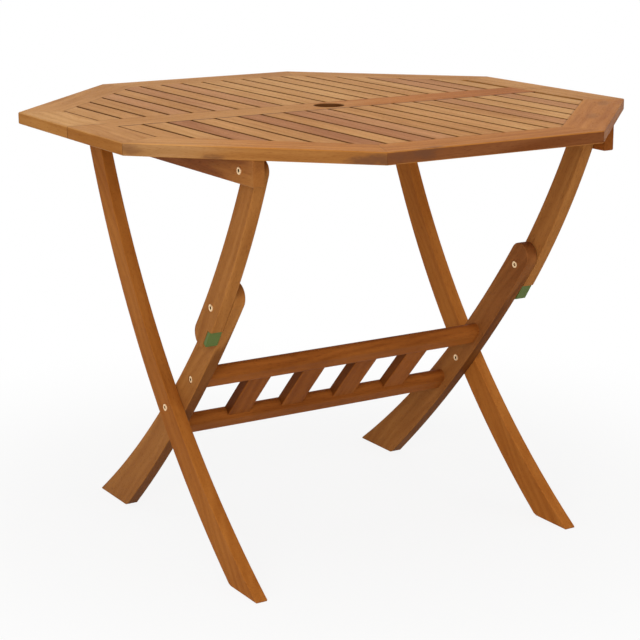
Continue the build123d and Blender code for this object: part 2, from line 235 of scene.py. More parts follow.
class Tree:
    """A node tree that is filled in short lines."""

    spacing = 190

    def __init__(self, tree):
        self.tree = tree
        self.column = 0

    def feed(self, socket, source):
        """Link a socket into another one, or set its value."""
        if isinstance(source, NodeSocket):
            self.tree.links.new(source, socket)
        elif socket.type == "RGBA":
            socket.default_value = (*source, 1.0)
        else:
            socket.default_value = source

    def put(self, kind, *sources, **values):
        """Add a node, set its values and feed its first inputs."""
        node = self.tree.nodes.new(kind)
        node.location = (self.column * self.spacing, 0)
        self.column += 1
        for key, value in values.items():
            setattr(node, key, value)
        for socket, source in zip(node.inputs, sources):
            self.feed(socket, source)
        return node

    def group(self, group, **values):
        """Place a shared group with its own values; gives its outputs."""
        node = self.put("ShaderNodeGroup", node_tree=group, name=group.name, label=group.name)
        for name, value in values.items():
            self.feed(node.inputs[name.replace("_", " ")], value)
        return node.outputs

    def math(self, operation, *sources, clamp=False):
        """Math node and its output."""
        return self.put("ShaderNodeMath", *sources, operation=operation, use_clamp=clamp).outputs[0]

    def vector(self, operation, *sources):
        """Vector math node and its vector output."""
        return self.put("ShaderNodeVectorMath", *sources, operation=operation).outputs["Vector"]

    def measure(self, operation, *sources):
        """Vector math node and its number output."""
        return self.put("ShaderNodeVectorMath", *sources, operation=operation).outputs["Value"]

    def axes(self, vector):
        """The three parts of a vector."""
        return self.put("ShaderNodeSeparateXYZ", vector).outputs

    def facing(self, normal, axis):
        """One where a surface faces along an axis, either way, and nought where it is square to it."""
        return self.math("ABSOLUTE", self.measure("DOT_PRODUCT", normal, axis))

    def noise(self, vector, density, detail, roughness=0.55):
        """Noise with a density in turns per metre, the same all ways or given for each axis."""
        if isinstance(density, float):
            density = (density, density, density)
        node = self.put("ShaderNodeTexNoise", self.vector("MULTIPLY", vector, density))
        node.inputs["Scale"].default_value = 1.0
        node.inputs["Detail"].default_value = detail
        node.inputs["Roughness"].default_value = roughness
        return node.outputs[0]

    def stir(self, value, cloud, reach):
        """Shift a value up and down by a cloud of noise."""
        return self.math("MULTIPLY_ADD", self.math("SUBTRACT", cloud, 0.5), reach, value)

    def spread(self, value, low, high, to_low=0.0, to_high=1.0):
        """Map a value from one range to another, smoothly and within its ends."""
        ends = (value, low, high, to_low, to_high)
        return self.put("ShaderNodeMapRange", *ends, interpolation_type="SMOOTHSTEP").outputs[0]

    def mix(self, factor, first, second, blend="MIX"):
        """Colour mix; sockets or colours go in."""
        # The colours of this node come after its numbers and vectors
        node = self.put("ShaderNodeMix", factor, data_type="RGBA", blend_type=blend)
        self.feed(node.inputs[6], first)
        self.feed(node.inputs[7], second)
        return node.outputs[2]

    def seen(self):
        """One for rays from the camera, from metal and through glass, and nought for the rest."""
        path = self.put("ShaderNodeLightPath").outputs
        shown = self.math("MAXIMUM", path["Is Camera Ray"], path["Is Glossy Ray"])
        return self.math("MAXIMUM", shown, path["Is Transmission Ray"])

    def link(self, source, target):
        """Join two sockets."""
        self.tree.links.new(source, target)


# Kinds of sockets, and two inputs that several groups share
VALUE, COLOUR, VECTOR = "NodeSocketFloat", "NodeSocketColor", "NodeSocketVector"
PLACE = (VECTOR, (0.0, 0.0, 0.0))
WHOLE = (VALUE, 1.0)


def shared_group(name, inputs, outputs):
    """Make a function that fills a node group into one that builds it once and gives it back.

    An input is a kind of socket with its default, and an output is a kind of socket.
    """

    def wrap(fill):
        @functools.wraps(fill)
        def group():
            if name not in bpy.data.node_groups:
                made = bpy.data.node_groups.new(name, "ShaderNodeTree")
                for label, (kind, default) in inputs.items():
                    socket = made.interface.new_socket(name=label, in_out="INPUT", socket_type=kind)
                    socket.default_value = default
                for label, kind in outputs.items():
                    made.interface.new_socket(name=label, in_out="OUTPUT", socket_type=kind)
                tree = Tree(made)
                entry = tree.put("NodeGroupInput")
                leave = tree.put("NodeGroupOutput")
                fill(tree, entry.outputs, leave.inputs)
            return bpy.data.node_groups[name]

        return group

    return wrap


@shared_group(
    "Board grain",
    {
        "Vector": PLACE,
        "Light": (COLOUR, (0.6, 0.3, 0.1, 1.0)),
        "Dark": (COLOUR, (0.4, 0.2, 0.1, 1.0)),
        "Streaks per metre": (VALUE, 62.0),
        "Contrast": WHOLE,
        "Board": (VALUE, 0.0),
    },
    {"Color": COLOUR, "Roughness": VALUE, "Height": VALUE},
)
def board_grain(tree, given, out):
    """Long-grained oiled timber. The vector's X runs along the grain, in metres."""
    board_steps = (3.17, 1.73, 2.41)
    sway_density, sway_reach = (3.0, 9.0, 9.0), 0.035
    streaks_along = 2.4
    fibre_density = (14.0, 460.0, 460.0)
    pore_density = (70.0, 1500.0, 1500.0)
    cloud_density = (3.5, 8.0, 8.0)
    ring_density = (0.9, 30.0, 30.0)
    streak_share, ring_share, fibre_share, cloud_share = 0.4, 0.24, 0.2, 0.45
    usual_sum, usual_tone = 0.6, 0.45
    pore_darkness, pore_depth = 0.45, 0.6
    base_rough, fibre_rough, pore_rough = 0.40, 0.16, 0.10

    number = tree.put("ShaderNodeCombineXYZ")
    for socket, step in zip(number.inputs, board_steps):
        tree.link(tree.math("MULTIPLY", given["Board"], step), socket)
    place = tree.vector("ADD", given["Vector"], number.outputs[0])

    wander = tree.noise(place, sway_density, 2.0)
    shift = tree.math("MULTIPLY", tree.math("SUBTRACT", wander, 0.5), sway_reach)
    sway = tree.put("ShaderNodeCombineXYZ", 0.0, shift, shift)
    bent = tree.vector("ADD", place, sway.outputs[0])

    across = given["Streaks per metre"]
    streak_density = tree.put("ShaderNodeCombineXYZ", streaks_along, across, across)
    streaks = tree.noise(bent, streak_density.outputs[0], 4.0, 0.6)
    fibres = tree.noise(bent, fibre_density, 3.0)
    pores = tree.noise(bent, pore_density, 1.0)
    clouds = tree.noise(place, cloud_density, 2.0)

    rings = tree.put("ShaderNodeTexWave", tree.vector("MULTIPLY", bent, ring_density))
    rings.wave_type = "BANDS"
    rings.bands_direction = "DIAGONAL"
    rings.inputs["Scale"].default_value = 1.0
    rings.inputs["Distortion"].default_value = 5.0
    rings.inputs["Detail"].default_value = 2.0
    rings.inputs["Detail Scale"].default_value = 0.8

    tone = tree.math("MULTIPLY", tree.spread(streaks, 0.28, 0.74), streak_share)
    tone = tree.math("MULTIPLY_ADD", rings.outputs[1], ring_share, tone)
    tone = tree.math("MULTIPLY_ADD", fibres, fibre_share, tone)
    tone = tree.math("MULTIPLY_ADD", tree.spread(clouds, 0.3, 0.7), cloud_share, tone)
    tone = tree.math("SUBTRACT", tone, usual_sum)
    tone = tree.math("MULTIPLY_ADD", tone, given["Contrast"], usual_tone, clamp=True)
    solid = tree.mix(tone, given["Light"], given["Dark"])
    open_grain = tree.spread(pores, 0.58, 0.72)
    darkened = tree.math("MULTIPLY", open_grain, pore_darkness)
    tree.link(tree.mix(darkened, solid, given["Dark"], blend="MULTIPLY"), out["Color"])

    rough = tree.math("MULTIPLY_ADD", fibres, fibre_rough, base_rough)
    tree.link(tree.math("MULTIPLY_ADD", open_grain, pore_rough, rough), out["Roughness"])
    tree.link(tree.math("MULTIPLY_ADD", open_grain, -pore_depth, fibres), out["Height"])


@shared_group(
    "Board number",
    {"Vector": PLACE, "Start": (VALUE, ROW_START), "Pitch": (VALUE, SLAT_PITCH)},
    {"Board": VALUE, "Far side": VALUE},
)
def board_number(tree, given, out):
    """Numbers the boards of a row that runs along X, the far side apart from the near side."""
    far_numbers = 31.0
    parts = tree.axes(given["Vector"])
    reach = tree.math("SUBTRACT", parts["X"], given["Start"])
    row = tree.math("FLOOR", tree.math("DIVIDE", reach, given["Pitch"]))
    far = tree.math("GREATER_THAN", parts["Y"], 0.0)
    tree.link(tree.math("MULTIPLY_ADD", far, far_numbers, row), out["Board"])
    tree.link(far, out["Far side"])


@shared_group(
    "Knot",
    {
        "Vector": PLACE,
        "Centre": PLACE,
        "Grain": (VECTOR, X_AXIS),
        "Radius": (VALUE, 0.02),
        "Strength": WHOLE,
    },
    {"Mask": VALUE},
)
def knot_blotch(tree, given, out):
    """Soft dark blotch, drawn out along the grain about a point."""
    squeeze = (0.65, 0.65, 0.65)
    offset = tree.vector("SUBTRACT", given["Vector"], given["Centre"])
    along = tree.vector("PROJECT", offset, given["Grain"])
    drawn = tree.vector("SUBTRACT", offset, tree.vector("MULTIPLY", along, squeeze))
    away = tree.math("DIVIDE", tree.measure("LENGTH", drawn), given["Radius"])
    away = tree.stir(away, tree.noise(drawn, 190.0, 3.0), 1.1)
    heart = tree.spread(away, 0.2, 1.0, 1.0, 0.0)
    tree.link(tree.math("MULTIPLY", heart, given["Strength"]), out["Mask"])


@shared_group(
    "Edge wear",
    {"Vector": PLACE, "Normal": (VECTOR, UP), "Axis": (VECTOR, UP)},
    {"Mask": VALUE},
)
def edge_wear(tree, given, out):
    """Rubbed arrises and a painted highlight: the narrow band where a board turns from a face to its
    sides.
    """
    facing = tree.facing(given["Normal"], given["Axis"])
    band = tree.math("MULTIPLY", tree.spread(facing, 0.3, 0.55), tree.spread(facing, 0.8, 0.97, 1.0, 0.0))
    patches = tree.noise(given["Vector"], 38.0, 3.0)
    tree.link(tree.math("MULTIPLY", band, tree.spread(patches, 0.35, 0.62, 0.3, 1.0)), out["Mask"])


@shared_group(
    "Joint line",
    {
        "Vector": PLACE,
        "Plane": (VECTOR, Y_AXIS),
        "Offset": (VALUE, 0.0),
        "Width": (VALUE, 0.0012),
        "Strength": (VALUE, 0.7),
    },
    {"Mask": VALUE},
)
def joint_line(tree, given, out):
    """Dark line where two boards meet on a plane."""
    reach = tree.measure("DOT_PRODUCT", given["Vector"], given["Plane"])
    gap = tree.math("ABSOLUTE", tree.math("SUBTRACT", reach, given["Offset"]))
    line = tree.spread(tree.math("DIVIDE", gap, given["Width"]), 0.3, 1.0, 1.0, 0.0)
    dirt_and_shade = tree.noise(given["Vector"], 60.0, 3.0)
    line = tree.math("MULTIPLY", line, tree.spread(dirt_and_shade, 0.3, 0.6, 0.6, 1.0))
    tree.link(tree.math("MULTIPLY", line, given["Strength"]), out["Mask"])


@shared_group(
    "Gap shade",
    {"Vector": PLACE, "Normal": (VECTOR, UP), "Top": (VALUE, TABLE_TOP)},
    {"Mask": VALUE},
)
def gap_shade(tree, given, out):
    """Painted shade on the chamfers and walls of gaps and holes below the top face."""
    depth = tree.math("SUBTRACT", given["Top"], tree.axes(given["Vector"])["Z"])
    turned_down = tree.spread(tree.facing(given["Normal"], UP), 0.72, 0.95, 1.0, 0.0)
    below = tree.spread(depth, -0.0006, 0.0009)
    tree.link(tree.math("MULTIPLY", turned_down, below), out["Mask"])


@shared_group(
    "Rim tint",
    {
        "Color": (COLOUR, (0.5, 0.3, 0.1, 1.0)),
        "Normal": (VECTOR, UP),
        "Axis": (VECTOR, UP),
        "Tint": (COLOUR, (1.0, 1.0, 1.0, 1.0)),
        "Strength": WHOLE,
    },
    {"Color": COLOUR},
)
def rim_tint(tree, given, out):
    """Tints a colour on the narrow sides of a board."""
    narrow = tree.spread(tree.facing(given["Normal"], given["Axis"]), 0.1, 0.9, 1.0, 0.0)
    share = tree.math("MULTIPLY", narrow, given["Strength"])
    tree.link(tree.mix(share, given["Color"], given["Tint"], "MULTIPLY"), out["Color"])


@shared_group(
    "Tone drift",
    {"Vector": PLACE, "Start": (VALUE, 0.0), "End": (VALUE, 0.1)},
    {"Mask": VALUE},
)
def tone_drift(tree, given, out):
    """Rises from nought to one between two places along the grain."""
    cloud = tree.noise(given["Vector"], (5.0, 40.0, 40.0), 2.0)
    reach = tree.stir(tree.axes(given["Vector"])["X"], cloud, 0.3)
    tree.link(tree.spread(reach, given["Start"], given["End"]), out["Mask"])


@shared_group(
    "End grain",
    {"Vector": PLACE, "Normal": (VECTOR, UP), "Grain": (VECTOR, X_AXIS)},
    {"Mask": VALUE},
)
def end_grain(tree, given, out):
    """Sawn ends of a board, where the open grain drinks more oil."""
    sawn = tree.spread(tree.facing(given["Normal"], given["Grain"]), 0.78, 0.97)
    speckle = tree.noise(given["Vector"], 420.0, 3.0)
    tree.link(tree.math("MULTIPLY", sawn, tree.spread(speckle, 0.3, 0.7, 0.25, 0.8)), out["Mask"])


@shared_group(
    "Plating",
    {
        "Vector": PLACE,
        "Bright": (COLOUR, (0.8, 0.7, 0.5, 1.0)),
        "Dull": (COLOUR, (0.5, 0.3, 0.2, 1.0)),
        "Polish": (VALUE, 0.35),
    },
    {"Color": COLOUR, "Roughness": VALUE, "Height": VALUE},
)
def plating(tree, given, out):
    """Plated metal with dull patches and fine turning marks."""
    patches = tree.noise(given["Vector"], 420.0, 4.0)
    tree.link(tree.mix(tree.spread(patches, 0.45, 0.72), given["Bright"], given["Dull"]), out["Color"])
    rough = tree.math("MULTIPLY_ADD", tree.spread(patches, 0.3, 0.7), 0.2, given["Polish"])
    tree.link(rough, out["Roughness"])
    tree.link(tree.noise(given["Vector"], 2600.0, 2.0), out["Height"])


def empty_tree(owner):
    """Node tree of a material or world, with nothing in it."""
    owner.use_nodes = True
    owner.node_tree.nodes.clear()
    return Tree(owner.node_tree)


def new_material(name):
    """Material with a Principled shader and an output."""
    material = bpy.data.materials.new(name)
    tree = empty_tree(material)
    shader = tree.put("ShaderNodeBsdfPrincipled")
    tree.put("ShaderNodeOutputMaterial", shader.outputs[0])
    return material, tree, shader


def link_surface(tree, shader, surface, bump_strength, bump_depth):
    """Link a varying colour, roughness and height into a shader."""
    colour, roughness, height = surface
    tree.link(colour, shader.inputs["Base Color"])
    tree.link(roughness, shader.inputs["Roughness"])
    bump = tree.put("ShaderNodeBump")
    bump.inputs["Strength"].default_value = bump_strength
    bump.inputs["Distance"].default_value = bump_depth
    tree.link(height, bump.inputs["Height"])
    tree.link(bump.outputs[0], shader.inputs["Normal"])


class Knot(NamedTuple):
    """Blotch in the timber, with its centre and radius in metres."""

    centre: tuple
    radius: float
    strength: float


class Seam(NamedTuple):
    """Dark line on a plane at an offset from the middle; a mirrored one lies in all four quarters."""

    plane: tuple
    offset: float
    width: float
    strength: float
    mirrored: bool = False


class Drift(NamedTuple):
    """Second tone of a board, and the two places along the grain between which it takes over."""

    tone: str
    start: float
    end: float


class Rim(NamedTuple):
    """Tint of a board's narrow sides, all along or setting in between two places along the grain."""

    tint: tuple
    reach: tuple = ()


def tone_pair(tone):
    """Colours of a tone's early and late wood."""
    wood = bpy.context.scene.garden_table_wood
    return getattr(wood, f"{tone}_light")[:], getattr(wood, f"{tone}_dark")[:]


def mix_tones(tree, mask, pair, tone):
    """Go over from a pair of colours to a tone by a mask."""
    return [tree.mix(mask, first, second) for first, second in zip(pair, tone_pair(tone))]


def grain_turn(direction):
    """Rotation that lays a grain direction on X."""
    along = Vector(direction).normalized()
    side = along.cross(Vector(X_AXIS))
    if side.length < 0.3:
        side = along.cross(Vector(UP))
    side.normalize()
    return Matrix((along, side, along.cross(side))).to_euler()


def timber(
    name,
    direction,
    tone,
    board=0.0,
    contrast=1.2,
    arris=UP,
    far_tone=None,
    drift=None,
    rim=None,
    knots=(),
    seams=(),
    gaps=False,
):
    """Oiled timber whose grain runs along a direction.

    The board's number moves its grain, and the arris axis is square to its broad faces. A far
    tone makes a row material, whose boards are numbered along X and take that tone on the far
    side of the table. Gaps paints shade on the walls between boards.
    """
    wood = bpy.context.scene.garden_table_wood
    material, tree, shader = new_material(name)
    coordinates = tree.put("ShaderNodeTexCoord").outputs
    place, normal = coordinates["Object"], coordinates["Normal"]
    turned = tree.put("ShaderNodeMapping", place)
    turned.inputs["Rotation"].default_value = grain_turn(direction)
    along = turned.outputs[0]

    light, dark = tone_pair(tone)
    if far_tone:
        row = tree.group(board_number(), Vector=place, Start=ROW_START, Pitch=SLAT_PITCH)
        board = row["Board"]
        light, dark = mix_tones(tree, row["Far side"], (light, dark), far_tone)
    if drift:
        shift = tree.group(tone_drift(), Vector=along, Start=drift.start, End=drift.end)
        light, dark = mix_tones(tree, shift["Mask"], (light, dark), drift.tone)
    grain = tree.group(
        board_grain(),
        Vector=along,
        Light=light,
        Dark=dark,
        Streaks_per_metre=1.0 / wood.streak_width,
        Contrast=contrast,
        Board=board,
    )
    colour = grain["Color"]

    if rim:
        share = 1.0
        if rim.reach:
            start, end = rim.reach
            share = tree.group(tone_drift(), Vector=along, Start=start, End=end)["Mask"]
        tinted = tree.group(
            rim_tint(), Color=colour, Normal=normal, Axis=arris, Tint=rim.tint, Strength=share
        )
        colour = tinted["Color"]
    ends = tree.group(end_grain(), Vector=place, Normal=normal, Grain=direction)
    colour = tree.mix(ends["Mask"], colour, dark)
    for knot in knots:
        blotch = tree.group(
            knot_blotch(),
            Vector=place,
            Centre=knot.centre,
            Grain=direction,
            Radius=knot.radius,
            Strength=knot.strength,
        )
        colour = tree.mix(blotch["Mask"], colour, wood.knot_colour[:])
    # Paler arrises: rubbed wear and a painted highlight along the edges.
    worn_and_lit = tree.group(edge_wear(), Vector=place, Normal=normal, Axis=arris)
    colour = tree.mix(tree.math("MULTIPLY", worn_and_lit["Mask"], wood.edge_wear), colour, light)
    for seam in seams:
        line = tree.group(
            joint_line(),
            Vector=tree.vector("ABSOLUTE", place) if seam.mirrored else place,
            Plane=seam.plane,
            Offset=seam.offset,
            Width=seam.width,
            Strength=seam.strength,
        )
        colour = tree.mix(line["Mask"], colour, wood.seam_and_shade_colour[:])
    # Painted shade on the walls of the gaps and holes, in the seam colour.
    if gaps:
        shade = tree.group(gap_shade(), Vector=place, Normal=normal, Top=TABLE_TOP)
        dirt_and_shade = tree.math("MULTIPLY", shade["Mask"], wood.gap_painted_shade)
        colour = tree.mix(dirt_and_shade, colour, wood.seam_and_shade_colour[:])

    surface = (colour, grain["Roughness"], grain["Height"])
    link_surface(tree, shader, surface, bump_strength=0.5, bump_depth=wood.relief)
    shader.inputs["Specular IOR Level"].default_value = wood.oil_sheen
    return material


def dress(node, material):
    """Give a CAD node one finish."""
    slots = NODES[node].material_slots
    if not slots:
        raise RuntimeError(f"{node} has no material slot")
    for slot in slots:
        slot.material = material


class GARDENTABLE_OT_frame_boards(Operator):
    """Finish the mitred boards round the top"""

    bl_idname = "gardentable.frame_boards"
    bl_label = "Frame Boards"

    def execute(self, context):
        left_knots = (
            Knot((-0.212, -0.488, 0.738), radius=0.013, strength=0.8),
            Knot((-0.232, -0.468, 0.734), radius=0.012, strength=0.7),
            Knot((-0.392, -0.308, 0.729), radius=0.011, strength=0.7),
            Knot((-0.489, -0.211, 0.741), radius=0.012, strength=0.45),
        )
        near_knots = (
            Knot((-0.187, -0.495, 0.741), radius=0.012, strength=0.6),
            Knot((-0.140, -0.495, 0.742), radius=0.013, strength=0.85),
            Knot((-0.115, -0.490, 0.749), radius=0.008, strength=0.6),
        )
        right_knots = (
            Knot((0.425, -0.233, 0.75), radius=0.016, strength=0.4),
            Knot((0.300, -0.352, 0.75), radius=0.016, strength=0.35),
        )
        amber = Rim((0.84, 0.70, 0.46))
        brown = Rim((0.82, 0.79, 0.80))
        plum = Rim((0.50, 0.44, 0.66))
        rose = Rim((0.80, 0.84, 1.0))
        boards = (
            ("frame_board_far", 90, "tan", (), brown),
            ("frame_board_far_left", 135, "tan", (), brown),
            ("frame_board_far_right", 45, "tan", (), brown),
            ("frame_board_near", -90, "orange", near_knots, plum),
            ("frame_board_near_left", -135, "tan", left_knots, rose),
            ("frame_board_near_right", -45, "orange", right_knots, brown),
            ("side_board_left_far", 180, "golden", (), amber),
            ("side_board_left_near", 180, "tan", (), amber),
            ("side_board_right_far", 0, "tan", (), brown),
            ("side_board_right_near", 0, "tan", (), brown),
        )
        drifts = {"frame_board_near_left": Drift("orange", -0.2, 0.02)}
        mitre = math.radians(22.5)
        butt = Seam(Y_AXIS, 0.0, width=0.0018, strength=0.8)
        for number, (node, bearing, tone, knots, rim) in enumerate(boards, start=1):
            turn = math.radians(bearing)
            planes = [(-math.sin(angle), math.cos(angle), 0.0) for angle in (turn - mitre, turn + mitre)]
            seams = [Seam(plane, 0.0, width=0.0012, strength=0.35) for plane in planes]
            if node.startswith("side_board"):
                seams.append(butt)
            finish = timber(
                f"{node}_timber",
                (-math.sin(turn), math.cos(turn), 0.0),
                tone,
                board=number,
                contrast=1.4,
                drift=drifts.get(node),
                rim=rim,
                knots=knots,
                seams=seams,
            )
            dress(node, finish)
        return {"FINISHED"}


class GARDENTABLE_OT_centre_rail(Operator):
    """Finish the rail with the parasol hole"""

    bl_idname = "gardentable.centre_rail"
    bl_label = "Centre Rail"

    def execute(self, context):
        drift = Drift("leg", -0.1, 0.14)
        finish = timber("centre_rail_timber", X_AXIS, "tan", board=14, drift=drift, gaps=True)
        dress("centre_rail", finish)
        return {"FINISHED"}


class GARDENTABLE_OT_slats(Operator):
    """Finish the slats, each row with the timber of its far and near board"""

    bl_idname = "gardentable.slats"
    bl_label = "Slats"

    def execute(self, context):
        tones = {"g": "golden", "t": "tan", "p": "pink", "m": "mauve"}
        far_row = "gttptptpggggggtgppg"
        near_row = "tgmttmtmptttgtpggpg"
        slant = math.sqrt(0.5)
        seams = (
            Seam(Y_AXIS, RAIL_SIDE, width=0.003, strength=0.5),
            # The near side's wider, darker line is a dark joint plus painted shadow in the gap between
            # the rail and the near slats.
            Seam(Y_AXIS, -RAIL_SIDE, width=0.008, strength=0.95),
            Seam(Y_AXIS, FRAME_SIDE, width=0.003, strength=0.4, mirrored=True),
            Seam((slant, slant, 0.0), FRAME_SIDE, width=0.003, strength=0.4, mirrored=True),
        )
        made = {}
        for row, pair in enumerate(zip(far_row, near_row), start=1):
            if pair not in made:
                far, near = (tones[letter] for letter in pair)
                made[pair] = timber(
                    f"slat_{far}_{near}", Y_AXIS, near, far_tone=far, seams=seams, gaps=True
                )
            dress(f"slat_pair_{row:02d}", made[pair])
        return {"FINISHED"}


class GARDENTABLE_OT_legs(Operator):
    """Finish the battens and the curved legs"""

    bl_idname = "gardentable.legs"
    bl_label = "Battens and Legs"

    def execute(self, context):
        runs = (
            ("batten", Y_AXIS, "umber", "russet"),
            ("outer_leg", (0, 0.61, 0.79), "leg", "copper"),
            ("upper_leg", (0, -0.5, 0.87), "brown", "brown"),
            ("lower_leg", (0, -0.69, 0.73), "brown", "brown"),
        )
        drifts = {
            "batten_left": Drift("brown", -0.2, -0.38),
            "lower_leg_right": Drift("umber", -0.25, 0.9),
        }
        # Painted shade on the lower legs' narrow sides, setting in below the knee stop.
        shade_below_stop = Rim((0.58, 0.52, 0.48), reach=(0.42, 0.36))
        for number, (name, direction, *tones) in enumerate(runs, start=21):
            for side, tone, half in zip(("left", "right"), tones, (0.0, 0.5)):
                node = f"{name}_{side}"
                finish = timber(
                    f"{node}_timber",
                    direction,
                    tone,
                    board=number + half,
                    contrast=1.0,
                    arris=X_AXIS,
                    drift=drifts.get(node),
                    rim=shade_below_stop if name == "lower_leg" else None,
                )
                dress(node, finish)
        return {"FINISHED"}


class GARDENTABLE_OT_lattice(Operator):
    """Finish the lattice between the lower legs"""

    bl_idname = "gardentable.lattice"
    bl_label = "Lattice"

    def execute(self, context):
        slat_grain, slat_arris = (0, 0.69, -0.73), (0, 0.73, 0.69)
        # Painted shade on the lattice slats' narrow sides.
        painted_side_shade = Rim((0.5, 0.45, 0.4))
        for number, place in enumerate(("upper", "lower"), start=31):
            node = f"lattice_rail_{place}"
            dress(node, timber(f"{node}_timber", X_AXIS, "russet", board=number, contrast=1.0))
        for number in range(1, 5):
            node = f"lattice_slat_{number}"
            finish = timber(
                f"{node}_timber",
                slat_grain,
                "russet",
                board=34 + number,
                contrast=1.0,
                arris=slat_arris,
                rim=painted_side_shade,
            )
            dress(node, finish)
        return {"FINISHED"}


def moulding(name, colour):
    """Moulded plastic with faint clouds and a pebbled skin."""
    cloud_density, pebble_density, paling = 160.0, 1800.0, 1.25
    material, tree, shader = new_material(name)
    place = tree.put("ShaderNodeTexCoord").outputs["Object"]
    cloud = tree.noise(place, cloud_density, 3.0)
    pale = tuple(min(1.0, part * paling) for part in colour)
    rough = tree.spread(cloud, 0.3, 0.7, 0.42, 0.58)
    surface = (tree.mix(cloud, colour, pale), rough, tree.noise(place, pebble_density, 2.0))
    link_surface(tree, shader, surface, bump_strength=0.25, bump_depth=0.0002)
    shader.inputs["Specular IOR Level"].default_value = 0.2
    return material


def metal(name, bright, dull, polish):
    """Plated metal that shows dull patches and fine turning marks."""
    material, tree, shader = new_material(name)
    place = tree.put("ShaderNodeTexCoord").outputs["Object"]
    plate = tree.group(plating(), Vector=place, Bright=bright, Dull=dull, Polish=polish)
    surface = (plate["Color"], plate["Roughness"], plate["Height"])
    link_surface(tree, shader, surface, bump_strength=0.2, bump_depth=0.0001)
    shader.inputs["Metallic"].default_value = 1.0
    return material


class GARDENTABLE_OT_knee_stops(Operator):
    """Finish the moulded knee stops"""

    bl_idname = "gardentable.knee_stops"
    bl_label = "Knee Stops"

    def execute(self, context):
        green = moulding("stop_moulding", context.scene.garden_table_hardware.stop_green[:])
        for side in ("left", "right"):
            dress(f"knee_stop_{side}", green)
        return {"FINISHED"}


def solid_boxes(node):
    """Lowest and highest corner of each separate solid in a CAD node."""
    mesh = bmesh.new()
    mesh.from_mesh(NODES[node].data)
    bmesh.ops.remove_doubles(mesh, verts=mesh.verts, dist=1e-5)
    left = set(mesh.verts)
    boxes = []
    while left:
        reached = [left.pop()]
        for vertex in reached:
            for edge in vertex.link_edges:
                other = edge.other_vert(vertex)
                if other in left:
                    left.remove(other)
                    reached.append(other)
        low = Vector([min(v.co[i] for v in reached) for i in range(3)])
        high = Vector([max(v.co[i] for v in reached) for i in range(3)])
        boxes.append((low, high))
    mesh.free()
    return sorted(boxes, key=lambda box: box[0][:])


def stack_rings(mesh, rings, place, turns=48):
    """Skin a stack of rings about Z; returns its bands of faces, with a cap at each end.

    A ring is a radius, a height and its number of flat sides, or nought where it is round.
    """
    loops = []
    for radius, height, sides in rings:
        loop = []
        for step in range(turns):
            angle = 2 * math.pi * step / turns
            reach = radius
            if sides:
                wedge = math.pi / sides
                reach = radius / math.cos((angle + wedge) % (2 * wedge) - wedge)
            point = Vector((reach * math.cos(angle), reach * math.sin(angle), height))
            loop.append(mesh.verts.new(place @ point))
        loops.append(loop)
    bands = [[mesh.faces.new(loops[0][::-1])]]
    for lower, upper in zip(loops, loops[1:]):
        ring = zip(lower, lower[1:] + lower[:1], upper[1:] + upper[:1], upper)
        bands.append([mesh.faces.new(corners) for corners in ring])
    bands.append([mesh.faces.new(loops[-1])])
    return bands


def mesh_piece(name, mesh, materials):
    """Turn a finished bmesh into a scene object, smooth but for its sharper edges."""
    sharp = math.radians(30.0)
    bmesh.ops.recalc_face_normals(mesh, faces=mesh.faces)
    for face in mesh.faces:
        face.smooth = True
    for edge in mesh.edges:
        if len(edge.link_faces) == 2 and edge.calc_face_angle(0.0) > sharp:
            edge.smooth = False
    data = bpy.data.meshes.new(name)
    mesh.to_mesh(data)
    mesh.free()
    for material in materials:
        data.materials.append(material)
    piece = bpy.data.objects.new(name, data)
    bpy.context.scene.collection.objects.link(piece)
    return piece


class BoltGroup(NamedTuple):
    """Like bolts of one node: their body, their shank's radius and how their heads sit."""

    node: str
    body: str
    shank: float
    two_heads: bool = False
    faces_in: bool = False


def bolt_rings(hardware, rim, shank, length, two_heads):
    """Rings of a flat-headed bolt from its hexagon socket down, with the head's face at nought."""
    socket, depth, head = hardware.socket_reach, hardware.socket_depth, hardware.head_height
    bevel, lip = hardware.head_bevel, 0.0003
    shoulder = 0.3 * bevel
    rings = [
        (socket, -depth, 6),
        (socket, -lip, 6),
        (socket + lip, 0.0, 6),
        (rim - bevel, 0.0, 0),
        (rim - shoulder, -shoulder, 0),
        (rim, -bevel, 0),
        (rim, -head, 0),
        (shank, -head, 0),
    ]
    if two_heads:
        return rings + [(radius, -length - height, sides) for radius, height, sides in rings[::-1]]
    return rings + [(shank, -length, 0)]


class GARDENTABLE_OT_bolts(Operator):
    """Turn the flat-headed bolts with a bevelled rim and a hexagon socket"""

    bl_idname = "gardentable.bolts"
    bl_label = "Bolts"

    def execute(self, context):
        hardware = context.scene.garden_table_hardware
        brass = metal("bolt_brass", hardware.brass[:], hardware.tarnish[:], polish=0.35)
        recess = metal("bolt_recess", hardware.recess[:], hardware.tarnish[:], polish=0.6)
        pivot, bolt = hardware.pivot_radius, hardware.bolt_radius
        groups = (
            BoltGroup("top_pivot_bolts", "tabletop", pivot),
            BoltGroup("knee_bolts", "upper_legs", pivot, two_heads=True),
            BoltGroup("crossing_bolts", "outer_legs", pivot),
            BoltGroup("crossing_sleeves", "lower_legs", pivot, faces_in=True),
            BoltGroup("lattice_bolts", "lower_legs", bolt),
        )
        for group in groups:
            mesh = bmesh.new()
            for low, high in solid_boxes(group.node):
                middle = (low + high) / 2
                outward = 1.0 if (middle.x > 0) != group.faces_in else -1.0
                head_face = high.x if outward > 0 else low.x
                turn = Matrix.Rotation(outward * math.pi / 2, 4, "Y")
                place = Matrix.Translation((head_face, middle.y, middle.z)) @ turn
                rim, length = (high.y - low.y) / 2, high.x - low.x
                rings = bolt_rings(hardware, rim, group.shank, length, group.two_heads)
                bands = stack_rings(mesh, rings, place)
                # The socket's walls and floor take the dark finish: painted shade in the socket.
                sockets = bands[:2]
                if group.two_heads:
                    sockets += bands[-2:]
                for band in sockets:
                    for face in band:
                        face.material_index = 1
            piece = mesh_piece(f"{group.node}_turned", mesh, [brass, recess])
            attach(piece, group.body)
            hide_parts(group.node)
        return {"FINISHED"}


